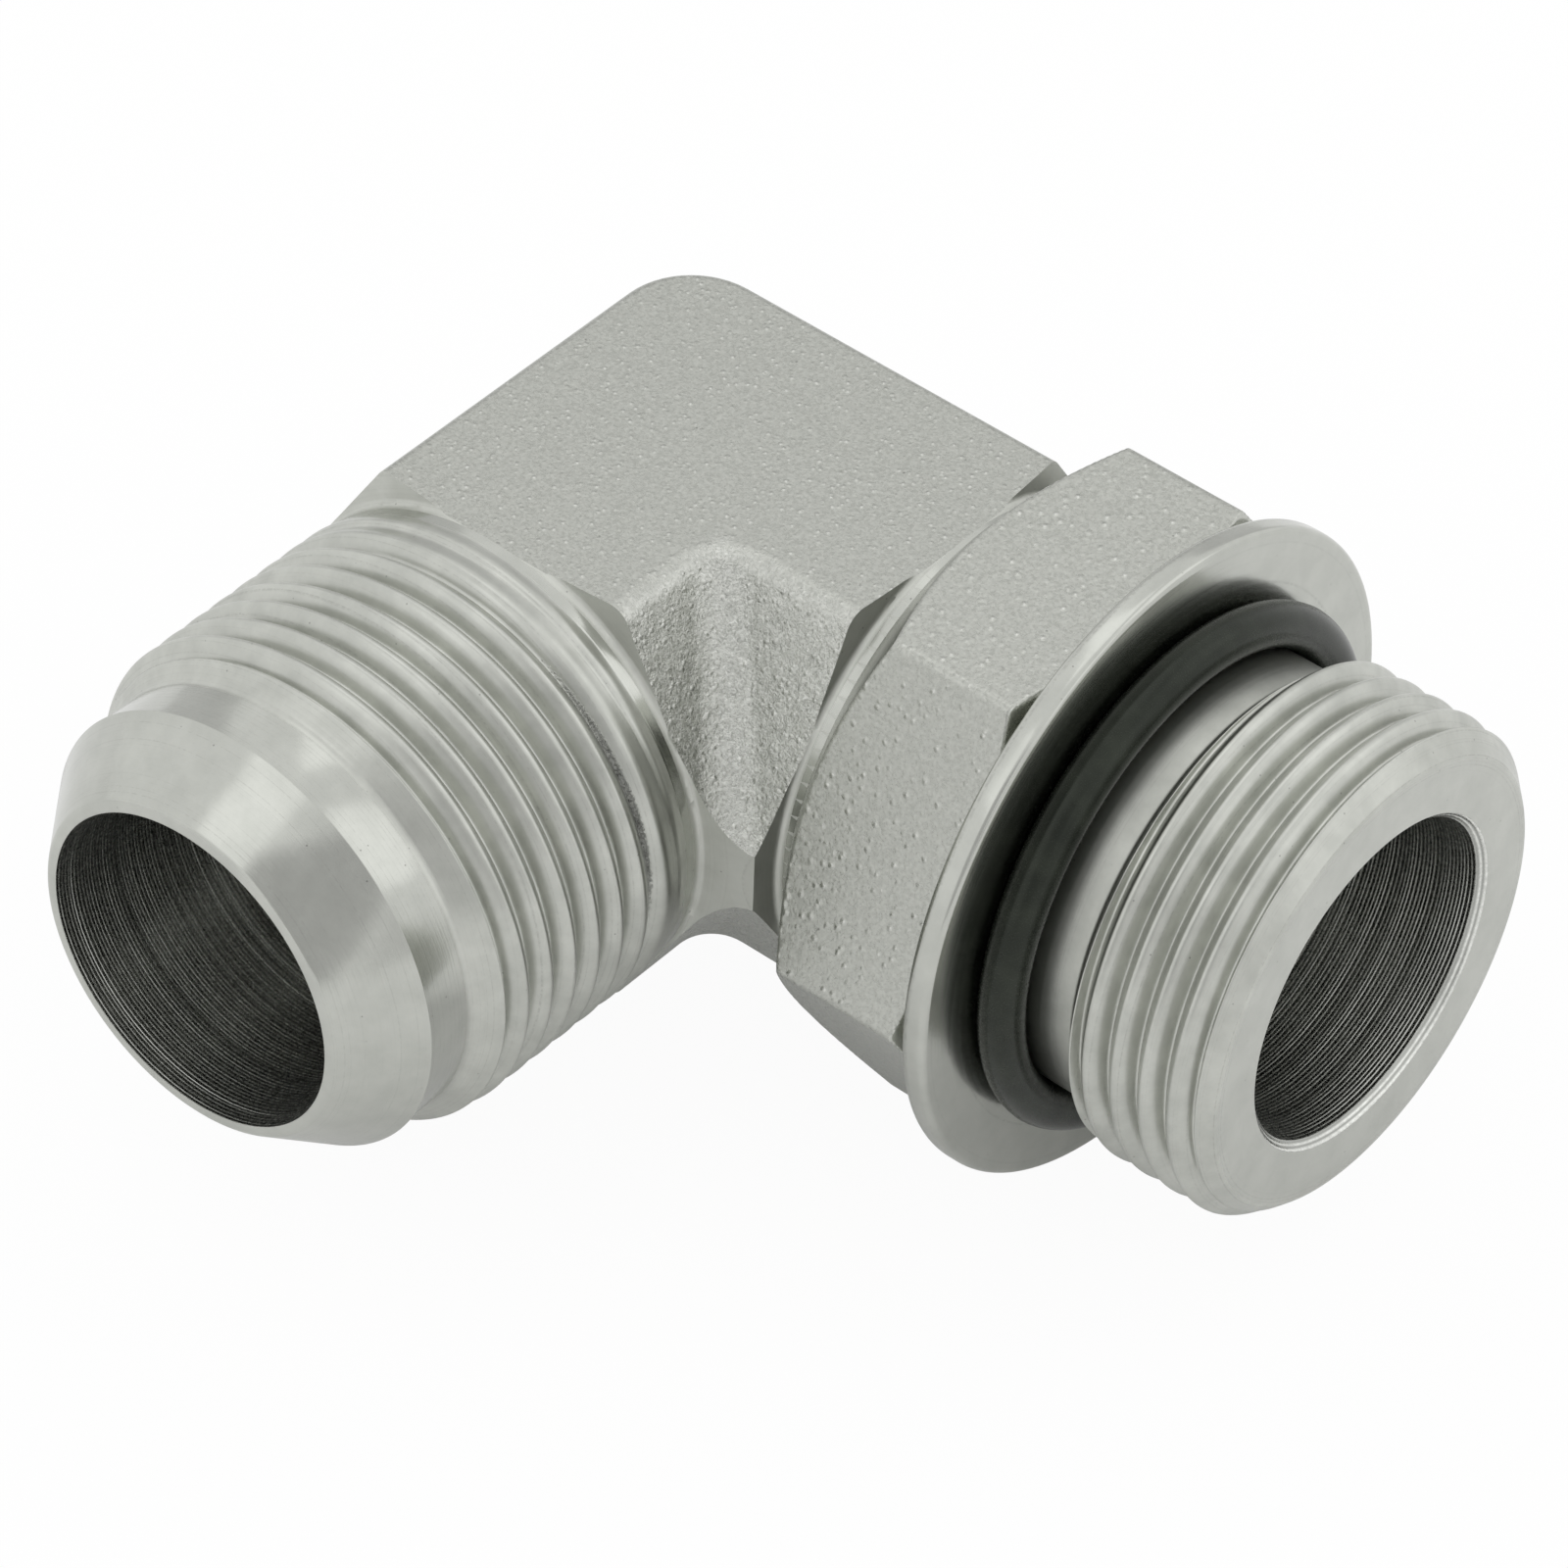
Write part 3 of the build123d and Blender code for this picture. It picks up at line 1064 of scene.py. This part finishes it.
def compass(azimuth: float, elevation: float, distance: float) -> np.ndarray:
    """The point at a distance from the adapter: azimuth from +X towards +Y, elevation above the floor.

    Args:
        azimuth: in degrees.
        elevation: in degrees.
        distance: in metres.

    Returns:
        The point.
    """
    a, e = np.radians(azimuth), np.radians(elevation)
    return distance * np.array([np.cos(a) * np.cos(e), np.sin(a) * np.cos(e), np.sin(e)])


@dataclass
class SoftBox:
    """A square soft lamp that looks at the adapter. A level of 1 adds as much light as the white room."""

    azimuth: float
    elevation: float
    size: float
    level: float
    distance: float = 0.6

    def build(self, name: str) -> None:
        """Makes the lamp, whose power is level x pi x area.

        Args:
            name: its name.
        """
        lamp = bpy.data.lights.new(name, "AREA")
        lamp.shape = "SQUARE"
        lamp.size = self.size
        lamp.energy = self.level * np.pi * self.size**2
        obj = bpy.data.objects.new(name, lamp)
        obj.matrix_world = facing(compass(self.azimuth, self.elevation, self.distance), np.zeros(3))
        bpy.context.scene.collection.objects.link(obj)


@dataclass
class GreyCard:
    """A grey card of the studio, which only reflections see. A level of 1 is as light as the white room."""

    azimuth: float
    elevation: float
    width: float
    height: float
    level: float
    distance: float = 0.8

    def build(self, name: str) -> None:
        """Makes the card as a plain sheet that faces the adapter.

        Args:
            name: its name.
        """
        s = Shader(name)
        glow = s.add("Emission", Color=(self.level, self.level, self.level, 1), Strength=1.0)
        s.tree.links.new(glow.outputs[0], s.tree.nodes["Material Output"].inputs["Surface"])
        placing = np.array(facing(compass(self.azimuth, self.elevation, self.distance), np.zeros(3)))
        corners = np.array([(-1, -1, 0), (1, -1, 0), (1, 1, 0), (-1, 1, 0)], float) / 2
        points = (corners * (self.width, self.height, 1)) @ placing[:3, :3].T + placing[:3, 3]
        obj = write_mesh(name, points / MM, np.array([[0, 1, 2, 3]]), np.zeros(4))
        obj.data.materials.append(s.material)
        obj.visible_camera = obj.visible_diffuse = obj.visible_shadow = obj.visible_transmission = False
        obj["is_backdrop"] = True


def facing(place: np.ndarray, aim: np.ndarray) -> Matrix:
    """A placing whose -Z looks from a place to a point.

    Args:
        place: where it stands.
        aim: what it looks at.

    Returns:
        The 4 by 4 matrix.
    """
    back = (place - aim) / np.linalg.norm(place - aim)
    side = np.cross([0.0, 0.0, 1.0], back)
    side = side / np.linalg.norm(side) if np.linalg.norm(side) > 1e-6 else np.array([1.0, 0.0, 0.0])
    rows = np.eye(4)
    rows[:3, 0], rows[:3, 1], rows[:3, 2], rows[:3, 3] = side, np.cross(back, side), back, place
    return Matrix(rows.tolist())


@dataclass
class Studio:
    """White room: pale floor, soft lamps and the camera at the photograph's own place."""

    floor_z: float
    camera_place: tuple = (0.25297093, -0.30607953, 0.34971299)
    camera_right: tuple = (0.76350792, 0.6451884, 0.02806396)
    camera_down: tuple = (0.4533757, -0.50455913, -0.73475884)
    camera_ahead: tuple = (-0.45989795, 0.57371772, -0.67774764)
    lens: float = 195.312
    boxes: list[SoftBox] = field(
        default_factory=lambda: [
            SoftBox(azimuth=-104, elevation=48, size=0.28, level=0.34),
            SoftBox(azimuth=46, elevation=40, size=0.34, level=0.34),
            SoftBox(azimuth=8, elevation=27, size=0.24, level=0.24),
            SoftBox(azimuth=129, elevation=76, size=0.34, level=0.4),
        ]
    )
    cards: list[GreyCard] = field(
        default_factory=lambda: [
            GreyCard(azimuth=-59, elevation=20, width=0.58, height=0.8, level=0.6),
            GreyCard(azimuth=-26, elevation=0, width=0.28, height=0.5, level=0.74),
            GreyCard(azimuth=129, elevation=13, width=1.0, height=0.54, level=0.72),
        ]
    )

    def camera(self) -> None:
        """Makes the camera from its three directions."""
        data = bpy.data.cameras.new("camera")
        data.lens = self.lens
        data.sensor_width = 36
        data.clip_start, data.clip_end = 0.02, 20
        obj = bpy.data.objects.new("camera", data)
        rows = np.eye(4)
        rows[:3, 0] = self.camera_right
        rows[:3, 1] = -np.array(self.camera_down)
        rows[:3, 2] = -np.array(self.camera_ahead)
        rows[:3, 3] = self.camera_place
        obj.matrix_world = Matrix(rows.tolist())
        bpy.context.scene.collection.objects.link(obj)
        bpy.context.scene.camera = obj

    def world(self) -> None:
        """A plain white room."""
        world = bpy.data.worlds.new("room")
        world.use_nodes = True
        world.node_tree.nodes["Background"].inputs["Color"].default_value = (1, 1, 1, 1)
        bpy.context.scene.world = world

    def floor(self) -> None:
        """Pale floor that the camera sees as white, with the object's soft shadow kept in reflections."""
        s = Shader("studio_floor")
        s.put(s.surface.inputs["Base Color"], (0.88, 0.88, 0.88, 1))
        s.put(s.surface.inputs["Roughness"], 0.9)
        white = s.add("Emission", Color=(1, 1, 1, 1), Strength=1.0)
        seen = s.add("LightPath").outputs["Is Camera Ray"]
        mix = s.add("MixShader")
        s.put(mix.inputs[0], s.remap(seen, 0, 1, 0.1, 0.95))
        s.put(mix.inputs[1], s.surface.outputs[0])
        s.put(mix.inputs[2], white.outputs[0])
        s.tree.links.new(mix.outputs[0], s.tree.nodes["Material Output"].inputs["Surface"])
        corners = np.array([(-1, -1), (1, -1), (1, 1), (-1, 1)], float) * 4000
        points = np.column_stack([corners, np.full(4, self.floor_z / MM)])
        obj = write_mesh("studio_floor", points, np.array([[0, 1, 2, 3]]), np.zeros(4))
        obj.data.materials.append(s.material)
        obj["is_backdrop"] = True

    def build(self) -> None:
        """Makes the whole studio."""
        self.camera()
        self.world()
        self.floor()
        for number, box in enumerate(self.boxes):
            box.build(f"soft_box_{number}")
        for number, card in enumerate(self.cards):
            card.build(f"grey_card_{number}")
        bpy.context.scene.view_settings.view_transform = "Standard"


def main() -> None:
    """Builds every piece of the adapter, and then its studio."""
    logging.basicConfig(level=logging.INFO, format="%(name)s: %(message)s")
    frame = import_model()
    cad_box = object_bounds()
    finishes = Finishes()
    block = ForgedBlock(frame["nodes"]["elbow_body"])
    for piece in (block, flare_stud(), port_stud(), LockNut(), SealWasher(), SealRing()):
        obj = piece.build(finishes)
        log.info("%s is in place", obj.name)
    Studio(floor_z=cad_box[0][2] - 0.0001).build()


if __name__ == "__main__":
    main()
